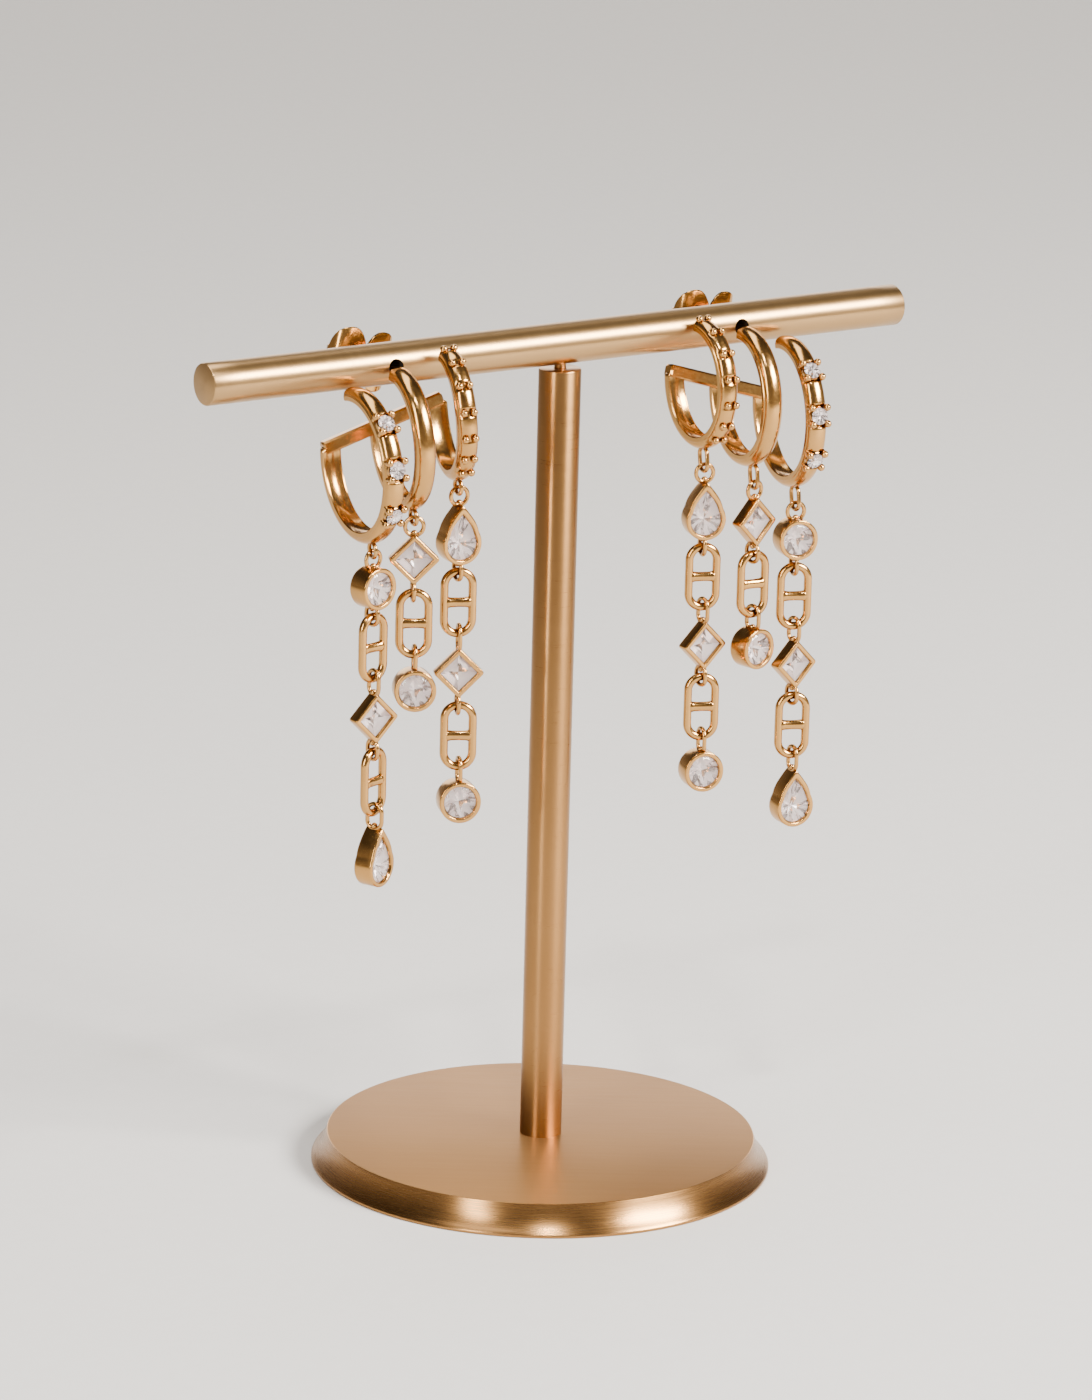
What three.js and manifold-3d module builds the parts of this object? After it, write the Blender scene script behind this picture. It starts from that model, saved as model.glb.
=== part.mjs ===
// A pair of chandelier earrings hanging on a brass T-bar display stand.
// Millimetres, +Z up, origin at the centre of the stand's base on the surface it stands on.
// -Y is the front. Each ear post runs through a hole in the bar, so the hoops hang in front of it.
import * as THREE from "three";
import { mergeVertices } from "three/addons/utils/BufferGeometryUtils.js";
import Module from "manifold-3d";

const wasm = await Module();
wasm.setup();

// Stand
const BASE_BOTTOM_D = 56.1;
const BASE_TOP_D = 52.4;
const BASE_WAIST_D = 53.5;
const BASE_WAIST_Z = 1.75;
const BASE_H = 3.7;
const BASE_LIP = 0.4;
const POST_D = 5.1;
const BAR_D = 5.0;
const BAR_L = 98.2;
const BAR_Z = 102.35;
const BAR_CHAMFER = 0.25;
const STUD_D = 1.4;
const STUD_SHOWN = 0.5;
const STUD_DEPTH = 1.2;
const HOLE_D = 2.0;
const HOLE_X = 24.6;
const SEAT_GAP = 0.3;

// Ear post and butterfly nut
const EAR_POST_D = 0.9;
const EAR_POST_BACK = 10.4;
const EAR_POST_FRONT = 3.9;
const EAR_POST_DROP = 0.45;
const NUT_WIDTH = 8.1;
const NUT_HEIGHT = 7.2;
const NUT_STRIP = 0.4;
const NUT_CURL_R = 1.5;
const NUT_CLEAR = 0.22;
const NUT_BEHIND_BAR = 2.3;

// Hoop band: D-shaped section, rounded outside and flat inside
const BAND_W = 2.5;
const BAND_T = 1.5;
const BAND_EDGE = 0.85;
const LEG_BAR = 1.6;

// Small stones in the outer hoop, each held by four bead prongs
const HOOP_STONE_D = 2.1;
const HOOP_STONE_POCKET = 0.8;
const HOOP_STONE_BELOW = 0.7;
const PRONG_D = 0.76;
const PRONG_GAP = 0.04;
const PRONG_SINK = 0.24;
const PRONG_SPREAD = 0.66;
const BEAD_D = 0.92;
const BEAD_SINK = 0.02;
const BEAD_SPREAD = 0.62;

// Drops
const ROUND_D = 5.0;
const ROUND_DEPTH = 2.8;
const SQUARE_SIDE = 4.3;
const SQUARE_DEPTH = 1.8;
const PEAR_W = 5.0;
const PEAR_H = 7.26;
const PEAR_DEPTH = 2.5;
const PEAR_BOW = 0.05;
const BEZEL_WALL = 0.5;
const BEZEL_FLOOR = 0.45;
const STONE_CLEAR = 0.1;
const STONE_SINK = 0.32;
const GIRDLE = 0.12;
const STONE_UNDER = 0.28;
const LOOP_WIRE = 0.52;
const LOOP_BITE = 0.18;
const RING_D = 2.7;
const LINK_W = 4.25;
const LINK_H = 8.4;
const LINK_WIRE = 0.88;
const NECK_ABOVE = 1.7;
const NECK_BELOW = 1.0;
const NECK_BITE = 0.35;
const CLEAR = 0.3;

const GOLD = { color: 0xd9a253, metalness: 1, roughness: 0.14 };
const BRASS = { color: 0xb98d5c, metalness: 1, roughness: 0.36 };
const CRYSTAL = { color: 0xf3e6e2, metalness: 0, roughness: 0.02, transparent: true, opacity: 0.85 };

// Each hoop in its earring's frame, whose origin is the centre of the bar's hole: x outwards from the
// middle hoop, front and top of its outer surface, half depth, half height, fan of the back leg
// outwards, where the sweep starts and ends and where its bottom loop sits, angles in degrees.
const HOOPS = {
  outer: { x: 5.0, front: -11.2, top: -1.8, a: 8.0, b: 9.2, fan: 5.5, from: 97, to: -193, loop: -86 },
  middle: { x: 0, front: -9.6, top: -0.2, a: 6.95, b: 8.5, fan: 0, from: 87, to: -193, loop: -82 },
  inner: { x: -5.8, front: -9.1, top: 1.3, a: 6.1, b: 7.9, fan: -6.5, from: 84, to: -190, loop: -91 },
};
const STONE_ANGLES = [35, -1, -38];
const BEAD_ANGLES = [79, 53, 28, 4, -19, -40, -59];

// Each earring: side, how it leans on its loose post and how its nut is turned, in degrees, and how far
// its bottom loops are drawn out.
const EARRINGS = [
  { name: "left", side: -1, lean: -8.6, roll: -3.0, yaw: -5.9, nutTurn: 14, loopStretch: 0.1 },
  { name: "right", side: 1, lean: -9.2, roll: 0.6, yaw: -2.7, nutTurn: 8, loopStretch: 1.2 },
];
// The chains hang a little out of line with the post.
const CHAIN_LEAN = 1.4;

// The drops from top to bottom, with how far each piece is turned about its chain, in degrees.
const CHAINS = {
  left: {
    outer: [["round", 10], ["link", 12], ["square", 2], ["link", 20], ["pear", 24]],
    middle: [["square", -26], ["link", -28], ["round", -25]],
    inner: [["pear", -6], ["link", -22], ["square", -24], ["link", -28], ["round", -21]],
  },
  right: {
    outer: [["round", -13], ["link", -22], ["square", 3], ["link", -22], ["pear", -6]],
    middle: [["square", 8], ["link", -4], ["round", 10]],
    inner: [["pear", -16], ["link", -22], ["square", -1], ["link", -22], ["round", -13]],
  },
};

const deg = THREE.MathUtils.degToRad;

function solid(geometry) {
  const plain = (geometry.index ? geometry.toNonIndexed() : geometry.clone());
  for (const key of ["normal", "uv"]) plain.deleteAttribute(key);
  const merged = mergeVertices(plain, 1e-4);
  return new wasm.Manifold(new wasm.Mesh({
    numProp: 3,
    vertProperties: new Float32Array(merged.attributes.position.array),
    triVerts: new Uint32Array(merged.index.array),
  }));
}

function geometryOf(body) {
  const mesh = body.getMesh();
  const geometry = new THREE.BufferGeometry();
  geometry.setAttribute("position", new THREE.BufferAttribute(mesh.vertProperties, 3));
  geometry.setIndex(new THREE.BufferAttribute(mesh.triVerts, 1));
  geometry.computeVertexNormals();
  return geometry;
}

function join(...geometries) {
  return geometries.map(solid).reduce((sum, next) => sum.add(next));
}

function named(name, geometry, finish) {
  const mesh = new THREE.Mesh(geometry, new THREE.MeshStandardMaterial(finish));
  mesh.name = name;
  return mesh;
}

// A closed lathe profile turned about Z, its radius shaped by an outline of the angle.
// Angle 0 is +X and 90 degrees is +Y before the piece is stood up to face the front.
function turned(profile, sides, outline = () => 1, offset = 0) {
  const points = profile.map(([r, h]) => new THREE.Vector2(Math.max(r, 0), h));
  const geometry = new THREE.LatheGeometry(points, sides, offset);
  geometry.rotateX(Math.PI / 2);
  const p = geometry.attributes.position;
  for (let i = 0; i < p.count; i++) {
    const scale = outline(Math.atan2(p.getY(i), p.getX(i)));
    p.setXY(i, p.getX(i) * scale, p.getY(i) * scale);
  }
  return geometry;
}

// A wire loop in the XY plane: a ring drawn out along Y by the given stretch.
function wireLoop(middleR, stretch, wire, sides, segments) {
  const geometry = new THREE.TorusGeometry(middleR, wire / 2, sides, segments);
  geometry.rotateZ(Math.PI / segments);
  const p = geometry.attributes.position;
  for (let i = 0; i < p.count; i++) p.setY(i, p.getY(i) + Math.sign(p.getY(i)) * stretch / 2);
  return geometry;
}

// The outer surface of a hoop, from its top end round the front and bottom to the end of its back leg.
class HoopCurve extends THREE.Curve {
  constructor(hoop, side) {
    super();
    this.hoop = hoop;
    this.side = side;
  }
  at(angle) {
    const { x, front, top, a, b, fan } = this.hoop;
    const back = a - a * Math.cos(angle);
    return new THREE.Vector3(
      this.side * (x + back * Math.sin(deg(fan))),
      front + back * Math.cos(deg(fan)),
      top - b + b * Math.sin(angle));
  }
  getPoint(t, target = new THREE.Vector3()) {
    const { from, to } = this.hoop;
    return target.copy(this.at(deg(from + (to - from) * t)));
  }
  // Unit vectors along the surface's outward normal and across the band
  frame(angle) {
    const { a, b, fan } = this.hoop;
    const n = new THREE.Vector2(-Math.cos(angle) / a, Math.sin(angle) / b).normalize();
    const out = new THREE.Vector3(
      this.side * n.x * Math.sin(deg(fan)), n.x * Math.cos(deg(fan)), n.y);
    const across = new THREE.Vector3(this.side * Math.cos(deg(fan)), -Math.sin(deg(fan)), 0);
    return { out, across, down: new THREE.Vector3().crossVectors(across, out) };
  }
}

function bandGeometry(curve) {
  const half = BAND_W / 2;
  const section = new THREE.Shape();
  section.moveTo(half, BAND_T);
  section.lineTo(-half, BAND_T);
  section.lineTo(-half, BAND_EDGE);
  const arcSteps = 4;
  for (let i = 1; i < arcSteps; i++) {
    const turn = Math.PI * (1 - i / arcSteps);
    section.lineTo(half * Math.cos(turn), BAND_EDGE * (1 - Math.sin(turn)));
  }
  section.lineTo(half, BAND_EDGE);
  section.closePath();
  return new THREE.ExtrudeGeometry(section, { steps: 20, extrudePath: curve, bevelEnabled: false });
}

function beadAt(point, diameter) {
  return new THREE.IcosahedronGeometry(diameter / 2, 0).translate(point.x, point.y, point.z);
}

function boxBetween(start, end, width, height) {
  const along = end.clone().sub(start);
  const geometry = new THREE.BoxGeometry(along.length() + width, width, height);
  const turn = new THREE.Quaternion().setFromRotationMatrix(new THREE.Matrix4().makeBasis(
    along.clone().normalize(),
    new THREE.Vector3(0, 0, 1).cross(along).normalize(),
    along.clone().cross(new THREE.Vector3(0, 0, 1).cross(along)).normalize()));
  const middle = start.clone().add(end).multiplyScalar(0.5);
  return geometry.applyQuaternion(turn).translate(middle.x, middle.y, middle.z);
}

function curvesOf(earring) {
  const entries = Object.entries(HOOPS).map(([key, hoop]) => [key, new HoopCurve(hoop, earring.side)]);
  return Object.fromEntries(entries);
}

function hoopFrame(earring) {
  const frame = new THREE.Matrix4().makeRotationFromEuler(
    new THREE.Euler(deg(earring.lean), deg(earring.roll), deg(earring.yaw), "ZYX"));
  return frame.setPosition(earring.side * HOLE_X, 0, BAR_Z);
}

function hoopStonePlace(curve, angle) {
  const { out, across, down } = curve.frame(angle);
  const seat = curve.at(angle);
  const place = new THREE.Matrix4().makeBasis(across, down, out);
  if (place.determinant() < 0) place.makeBasis(across.clone().negate(), down, out);
  return place.setPosition(seat);
}

// Bottom loop of a hoop: the middle of the ring wire that rests in its lower end
const LOOP_R = LOOP_WIRE + CLEAR;
function loopRest(curve, stretch) {
  const angle = deg(curve.hoop.loop);
  const centre = curve.at(angle).addScaledVector(curve.frame(angle).out, LOOP_R - LOOP_BITE);
  centre.z -= stretch;
  return centre;
}

function hoopsGeometry(earring) {
  const frame = hoopFrame(earring);
  const curves = curvesOf(earring);
  const pieces = Object.values(curves).map(bandGeometry);
  const leg = (curve) => curve.at(deg(curve.hoop.to)).addScaledVector(
    curve.frame(deg(curve.hoop.to)).out, -BAND_T / 2);
  pieces.push(boxBetween(leg(curves.outer), leg(curves.inner), LEG_BAR, LEG_BAR));
  for (const angle of BEAD_ANGLES.map(deg)) {
    const { across, out } = curves.inner.frame(angle);
    for (const way of [-1, 1]) {
      const spot = curves.inner.at(angle).addScaledVector(across, way * BEAD_SPREAD);
      pieces.push(beadAt(spot.addScaledVector(out, -BEAD_SINK), BEAD_D));
    }
  }
  const prongAt = HOOP_STONE_D / 2 + PRONG_D / 2 + PRONG_GAP;
  for (const angle of STONE_ANGLES.map(deg)) {
    const { across, out, down } = curves.outer.frame(angle);
    for (const [u, v] of [[-1, -1], [-1, 1], [1, -1], [1, 1]]) {
      const spot = curves.outer.at(angle)
        .addScaledVector(across, u * prongAt * PRONG_SPREAD)
        .addScaledVector(down, v * prongAt * PRONG_SPREAD)
        .addScaledVector(out, -PRONG_SINK);
      pieces.push(beadAt(spot, PRONG_D));
    }
  }
  for (const curve of Object.values(curves)) {
    const rest = loopRest(curve, earring.loopStretch);
    const loop = wireLoop(LOOP_R, earring.loopStretch, LOOP_WIRE, 5, 10)
      .rotateY(Math.PI / 2).rotateX(Math.PI / 2);
    pieces.push(loop.translate(rest.x, rest.y, rest.z + earring.loopStretch / 2));
  }
  let body = pieces.map((g) => solid(fixed(g))).reduce((sum, next) => sum.add(next));
  for (const angle of STONE_ANGLES.map(deg)) {
    const pocket = new THREE.CylinderGeometry(
      HOOP_STONE_D / 2 + STONE_CLEAR, HOOP_STONE_D / 2 + STONE_CLEAR, 2 * HOOP_STONE_POCKET, 12);
    pocket.rotateX(Math.PI / 2).applyMatrix4(hoopStonePlace(curves.outer, angle));
    body = body.subtract(solid(pocket));
  }
  const geometry = geometryOf(body).applyMatrix4(frame);
  const length = EAR_POST_BACK + EAR_POST_FRONT;
  const post = new THREE.CylinderGeometry(EAR_POST_D / 2, EAR_POST_D / 2, length, 10);
  post.translate(0, EAR_POST_BACK - length / 2, 0)
    .translate(earring.side * HOLE_X, 0, BAR_Z - EAR_POST_DROP);
  return geometryOf(join(geometry, post));
}

// Faces of a mirrored geometry are turned round so that they point outwards again.
function fixed(geometry) {
  const body = solid(geometry);
  if (body.volume() >= 0) return geometry;
  const flipped = geometry.index ? geometry.toNonIndexed() : geometry.clone();
  const p = flipped.attributes.position;
  for (let i = 0; i < p.count; i += 3) {
    const a = new THREE.Vector3().fromBufferAttribute(p, i);
    const b = new THREE.Vector3().fromBufferAttribute(p, i + 1);
    p.setXYZ(i, b.x, b.y, b.z);
    p.setXYZ(i + 1, a.x, a.y, a.z);
  }
  return flipped;
}

// A brilliant-like stone about Z with its table up: table, crown, girdle and pavilion as shares of radius.
function stoneGeometry(radius, sides, outline, offset, depthBelow) {
  const crown = radius * 0.28;
  return turned([
    [0, -depthBelow], [radius * 0.55, -depthBelow * 0.5], [radius, -GIRDLE / 2], [radius, GIRDLE / 2],
    [radius * 0.6, crown], [0, crown],
  ], sides, outline, offset);
}

// Shape of a drop: its reach above and below its middle, depth, number of sides and outline.
// The pear is a circle with two tangents that meet at its point, a little bowed.
function pearOutline(angle) {
  const fromTop = Math.abs(Math.PI / 2 - angle) % (2 * Math.PI);
  const turn = Math.min(fromTop, 2 * Math.PI - fromTop);
  const touch = Math.acos(PEAR_W / 2 / (PEAR_H - PEAR_W / 2));
  if (turn > touch) return 1;
  return (1 + PEAR_BOW * Math.sin(Math.PI * turn / touch)) / Math.cos(touch - turn);
}
const DROP_SHAPES = {
  round: {
    radius: ROUND_D / 2, up: ROUND_D / 2, down: ROUND_D / 2, depth: ROUND_DEPTH,
    sides: 16, outline: () => 1,
  },
  square: {
    radius: SQUARE_SIDE / Math.SQRT2, up: SQUARE_SIDE / Math.SQRT2, down: SQUARE_SIDE / Math.SQRT2,
    depth: SQUARE_DEPTH, sides: 4, outline: () => 1,
  },
  pear: {
    radius: PEAR_W / 2, up: PEAR_H - PEAR_W / 2, down: PEAR_W / 2, depth: PEAR_DEPTH,
    sides: 16, outline: pearOutline,
  },
};

// The piece faces the front: its own Z turns to -Y and its own Y stays up.
const faceFront = (geometry) => geometry.rotateX(Math.PI / 2);

function wallShare(shape) {
  return shape === DROP_SHAPES.square ? BEZEL_WALL * Math.SQRT2 : BEZEL_WALL;
}

function bezelGeometry(kind, first, last) {
  const shape = DROP_SHAPES[kind];
  const r = shape.radius;
  const inner = r - wallShare(shape);
  const z = shape.depth / 2;
  const floor = BEZEL_FLOOR - z;
  const cup = turned([
    [0, -z], [r, -z], [r, z], [inner, z], [inner, floor], [0, floor],
  ], shape.sides, shape.outline);
  const wires = [];
  if (first) {
    wires.push(wireLoop(RING_D / 2 - LOOP_WIRE / 2, 0, LOOP_WIRE, 5, 12)
      .translate(0, shape.up + RING_D / 2 - LOOP_WIRE, 0));
  } else {
    const top = NECK_ABOVE + LINK_WIRE / 2 + CLEAR + LOOP_WIRE / 2;
    wires.push(neckLoop(shape.up - NECK_BITE, shape.up + top));
  }
  if (!last) {
    const drop = NECK_BELOW + LINK_WIRE / 2 + CLEAR + LOOP_WIRE / 2;
    wires.push(neckLoop(-shape.down - drop, -shape.down + NECK_BITE));
  }
  return join(cup, ...wires);
}

// A loop in the YZ plane of a drop, between two heights of its wire's middle
function neckLoop(low, high) {
  const r = LINK_WIRE / 2 + CLEAR + LOOP_WIRE / 2;
  const stretch = Math.max(0, high - low - 2 * r);
  return wireLoop(r, stretch, LOOP_WIRE, 5, 10).rotateY(Math.PI / 2).translate(0, (low + high) / 2, 0);
}

function linkGeometry() {
  const loop = wireLoop((LINK_W - LINK_WIRE) / 2, LINK_H - LINK_W, LINK_WIRE, 6, 12);
  const bar = new THREE.CylinderGeometry(LINK_WIRE / 2, LINK_WIRE / 2, LINK_W - LINK_WIRE, 6);
  return join(loop, bar.rotateZ(Math.PI / 2));
}

function dropStoneGeometry(kind) {
  const shape = DROP_SHAPES[kind];
  const radius = shape.radius - wallShare(shape) - STONE_CLEAR;
  const sides = kind === "square" ? 4 : 12;
  const below = shape.depth - BEZEL_FLOOR - STONE_SINK - STONE_UNDER;
  return stoneGeometry(radius, sides, shape.outline, 0, below)
    .translate(0, 0, shape.depth / 2 - STONE_SINK);
}

function nutGeometry() {
  const centre = NUT_WIDTH / 2 - NUT_STRIP / 2 - NUT_CURL_R;
  const middle = [];
  const steps = 10;
  for (let i = 0; i <= steps; i++) {
    const angle = deg(-90 + 245 * i / steps);
    middle.push(new THREE.Vector2(
      centre + NUT_CURL_R * Math.cos(angle), NUT_CURL_R + NUT_CURL_R * Math.sin(angle)));
  }
  const outer = [];
  const inner = [];
  middle.forEach((point, i) => {
    const before = middle[Math.max(0, i - 1)];
    const after = middle[Math.min(steps, i + 1)];
    const along = i === 0 ? new THREE.Vector2(1, 0) : after.clone().sub(before).normalize();
    const side = new THREE.Vector2(along.y, -along.x).multiplyScalar(NUT_STRIP / 2);
    outer.push(point.clone().add(side));
    inner.push(point.clone().sub(side));
  });
  const mirror = (list) => list.map((p) => new THREE.Vector2(-p.x, p.y));
  const outline = [
    ...outer, ...inner.slice().reverse(), ...mirror(inner), ...mirror(outer).reverse(),
  ];
  const strip = new THREE.ExtrudeGeometry(new THREE.Shape(outline), {
    depth: NUT_HEIGHT, bevelEnabled: false,
  }).translate(0, 0, -NUT_HEIGHT / 2);
  const bore = new THREE.CylinderGeometry(
    EAR_POST_D / 2 + NUT_CLEAR, EAR_POST_D / 2 + NUT_CLEAR, NUT_WIDTH, 10);
  return geometryOf(solid(strip).subtract(solid(bore)));
}

// The stand
function baseGeometry() {
  const bottom = BASE_BOTTOM_D / 2;
  const top = BASE_TOP_D / 2;
  return turned([
    [0, 0], [bottom, 0], [bottom, BASE_LIP], [BASE_WAIST_D / 2, BASE_WAIST_Z], [top, BASE_H], [0, BASE_H],
  ], 56);
}

const POST_TOP = BAR_Z - BAR_D / 2 - STUD_SHOWN;

function postGeometry() {
  const r = POST_D / 2;
  const stud = STUD_D / 2;
  const tip = BAR_Z - BAR_D / 2 + STUD_DEPTH;
  const foot = BASE_H + SEAT_GAP;
  return turned([[0, foot], [r, foot], [r, POST_TOP], [stud, POST_TOP], [stud, tip], [0, tip]], 24);
}

function barGeometry() {
  const r = BAR_D / 2;
  const half = BAR_L / 2;
  const rod = turned([
    [0, -half], [r - BAR_CHAMFER, -half], [r, -half + BAR_CHAMFER], [r, half - BAR_CHAMFER],
    [r - BAR_CHAMFER, half], [0, half],
  ], 24).rotateY(Math.PI / 2);
  let body = solid(rod);
  for (const side of [-1, 1]) {
    const hole = new THREE.CylinderGeometry(HOLE_D / 2, HOLE_D / 2, 2 * BAR_D, 16);
    body = body.subtract(solid(hole.translate(side * HOLE_X, 0, 0)));
  }
  const socketDepth = STUD_DEPTH + SEAT_GAP;
  const socketR = STUD_D / 2 + SEAT_GAP;
  const socket = new THREE.CylinderGeometry(socketR, socketR, 2 * socketDepth, 12).rotateX(Math.PI / 2);
  body = body.subtract(solid(socket.translate(0, 0, -r)));
  return geometryOf(body).translate(0, 0, BAR_Z);
}

function addChain(group, earring, key, anchor) {
  const pieces = CHAINS[earring.name][key];
  const label = `${earring.name}_${key}`;
  const counts = {};
  const stepDown = LINK_H / 2 - LINK_WIRE / 2;
  // Height of the next piece's hanging point: the middle of the wire that it hangs on
  let z = anchor.z;
  const place = (holder) => holder.position.set(
    anchor.x + (anchor.z - z) * Math.tan(deg(CHAIN_LEAN)), anchor.y, z);
  pieces.forEach(([kind, yaw], index) => {
    counts[kind] = (counts[kind] || 0) + 1;
    const holder = new THREE.Group();
    holder.rotation.z = deg(yaw);
    group.add(holder);
    if (kind === "link") {
      z -= stepDown;
      const mesh = named(`${label}_link_${counts.link}`, faceFront(geometryOf(linkGeometry())), GOLD);
      place(holder);
      holder.add(mesh);
      z -= stepDown;
      return;
    }
    const shape = DROP_SHAPES[kind];
    const first = index === 0;
    const last = index === pieces.length - 1;
    z -= first ? shape.up + RING_D - 1.5 * LOOP_WIRE : NECK_ABOVE + shape.up;
    place(holder);
    holder.add(named(`${label}_${kind}_setting`,
      faceFront(geometryOf(bezelGeometry(kind, first, last))), GOLD));
    holder.add(named(`${label}_${kind}_stone`, faceFront(dropStoneGeometry(kind)), CRYSTAL));
    z -= shape.down + NECK_BELOW;
  });
}

function earringGroup(earring) {
  const group = new THREE.Group();
  group.add(named(`${earring.name}_hoops`, hoopsGeometry(earring), GOLD));
  const frame = hoopFrame(earring);
  const curves = curvesOf(earring);
  STONE_ANGLES.forEach((angle, i) => {
    const stone = stoneGeometry(HOOP_STONE_D / 2, 8, () => 1, 0, HOOP_STONE_BELOW);
    stone.applyMatrix4(hoopStonePlace(curves.outer, deg(angle)));
    group.add(named(`${earring.name}_hoop_stone_${i + 1}`, stone.applyMatrix4(frame), CRYSTAL));
  });
  const nut = nutGeometry();
  nut.rotateY(deg(earring.nutTurn)).translate(
    earring.side * HOLE_X, BAR_D / 2 + NUT_BEHIND_BAR, BAR_Z - EAR_POST_DROP);
  group.add(named(`${earring.name}_butterfly_nut`, nut, GOLD));
  for (const [key, curve] of Object.entries(curves)) {
    // The wire of the first ring runs through the middle of the bottom loop
    const rest = loopRest(curve, earring.loopStretch);
    addChain(group, earring, key, rest.applyMatrix4(frame));
  }
  return group;
}

const stand = new THREE.Group();
stand.add(named("stand_base", baseGeometry(), BRASS));
stand.add(named("stand_post", postGeometry(), BRASS));
stand.add(named("stand_bar", barGeometry(), BRASS));

const part = new THREE.Group();
part.add(stand, ...EARRINGS.map(earringGroup));

export default part;
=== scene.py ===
"""A pair of chandelier earrings on a brass T-bar stand: the detailed pieces, their finishes and the studio.

Shapes are worked out in millimetres and stored in metres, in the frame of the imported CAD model.
The front is -Y, and +Z is up.
"""
import math

import bmesh
import bpy
from mathutils import Matrix, Vector


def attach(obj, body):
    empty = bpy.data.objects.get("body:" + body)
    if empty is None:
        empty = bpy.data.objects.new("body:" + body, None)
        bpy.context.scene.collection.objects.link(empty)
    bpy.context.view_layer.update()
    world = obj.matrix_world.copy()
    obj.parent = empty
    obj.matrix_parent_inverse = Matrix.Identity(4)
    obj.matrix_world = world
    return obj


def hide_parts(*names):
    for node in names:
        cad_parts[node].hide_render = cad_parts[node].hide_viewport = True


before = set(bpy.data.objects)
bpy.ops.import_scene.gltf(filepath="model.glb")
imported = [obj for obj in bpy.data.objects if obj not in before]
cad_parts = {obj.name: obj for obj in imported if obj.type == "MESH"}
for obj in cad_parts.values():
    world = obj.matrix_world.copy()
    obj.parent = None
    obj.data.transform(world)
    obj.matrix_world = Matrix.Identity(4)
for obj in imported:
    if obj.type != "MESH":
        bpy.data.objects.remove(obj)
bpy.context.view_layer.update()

MM = 0.001
BODY = "root"

# Edges that turn by more than this many degrees are shaded as sharp
EDGE_ANGLE = 32.0
FACET_ANGLE = 1.0

# Stand
BASE_BOTTOM_R = 28.05
BASE_TOP_R = 26.2
BASE_WAIST_R = 26.95
BASE_WAIST_Z = 1.75
BASE_H = 3.7
BASE_LIP = 0.4
POST_R = 2.55
POST_TOP = 99.35
STUD_R = 0.7
STUD_TIP = 101.0
BAR_R = 2.5
BAR_HALF = 49.1
BAR_Z = 102.35
HOLE_R = 1.0
HOLE_X = 24.6
BRUSH_TURN = -33.7
BRUSH_TILES = 20
BASE_SIDES = 256
POST_SIDES = 128
BAR_SIDES = 144
BAR_STATIONS = 24
HOLE_SIDES = 64

# Ear post and butterfly nut; the post's end is given by how much it narrows and how far before its tip
EAR_POST_R = 0.45
EAR_POST_BACK = 10.4
EAR_POST_FRONT = 3.9
EAR_POST_DROP = 0.45
EAR_POST_END = ((0.0, 1.7), (0.09, 1.5), (0.09, 1.3), (0.0, 1.1), (0.0, 0.3), (0.12, 0.08), (0.3, 0.0))
NUT_CURL_R = 1.5
NUT_CURL_X = 2.35
NUT_CURL_TURN = 245
NUT_TIGHTER = 0.16
NUT_TIGHTER_FROM = 0.55
NUT_STRIP = 0.36
NUT_SOFT = 0.3
NUT_Y = 4.8
NUT_LOBE = 3.6
NUT_LOBE_AT = 2.1
NUT_LOBE_INNER = 2.3
NUT_LOBE_OUTER = 2.9
NUT_TIP = 0.9
NUT_COLLAR = ((0.95, -0.25), (0.95, 0.3), (0.85, 0.42), (0.68, 0.42), (0.62, 0.3))

# Hoop band, its relief and what sits on it. The band's ends swell from a share of its section at so many
# degrees from the end. Collars and prongs are profiles of (radius, height).
BAND_HALF = 1.25
BAND_T = 1.5
BAND_EDGE = 0.85
BAND_HOLLOW = 0.12
BAND_SWELL = ((0.0, 0.55), (0.35, 0.76), (1.0, 0.9), (2.0, 0.97), (3.4, 1.0))
BAND_RUN_IN = 4
INNER_BLUNT = 0.6
LEG_BAR = 1.6
LEG_EDGE = 0.26
LEG_END = 0.2
LEG_END_SHARE = 0.72
HOOP_STONE_R = 1.03
HOOP_STONE_CROWN = 0.38
HOOP_STONE_BELOW = 0.27
HOOP_STONE_GIRDLE = 0.03
STONE_COLLAR = ((1.16, -0.6), (1.16, -0.24), (1.1, -0.16), (1.0, -0.16), (0.9, -0.6))
PRONG_STEM = ((0.3, -0.8), (0.27, 0.0), (0.2, 0.16))
PRONG_R = 0.46
PRONG_TALL = 1.1
PRONG_AT = 0.99
PRONG_RISE = 0.04
BEAD_R = 0.46
BEAD_SPREAD = 0.62
BEAD_SINK = 0.02
SEAT_DEPTH = 0.3
SEAT_HALF = 9.6
SEAT_STEEP = 4
GROOVE_DEPTH = 0.14
GROOVE_HALF = 5.0
GROOVE_STEEP = 1.6

# Drops, rings and links. A link's rod is given by its radius and how far that lies from the wire's middle.
WALL = 0.62
RIM = 0.48
RIM_SLOPE = 0.3
STONE_SINK = 0.4
STONE_LAP = 0.02
STONE_FLOOR = 0.2
CROWN_SHARE = 0.24
PAVILION_SHARE = 0.8
FOIL_SECTORS = 10
FOIL_TILT = -0.1
LOOP_WIRE = 0.52
LOOP_BITE = 0.18
LOOP_ROOT = 0.35
SOLDER_TOP_R = 0.4
SOLDER_LOW_R = 0.38
SOLDER_TALL = 0.9
SOLDER_OUT = 0.02
RING_D = 2.7
LINK_W = 4.25
LINK_H = 8.4
LINK_WIRE = 0.88
LINK_ROUND = 0.5
LINK_ROD = ((0.4, 0.0), (0.62, 0.22), (0.7, 0.42), (0.66, 0.6), (0.61, 0.85))
LINK_ROD_WAIST = 0.58
LINK_ROD_FLAT = 0.72
NECK_ABOVE = 1.7
NECK_BELOW = 1.0
CLEAR = 0.3
PEAR_R = 2.5
PEAR_UP = 4.76
PEAR_BOW = 0.1
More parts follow.
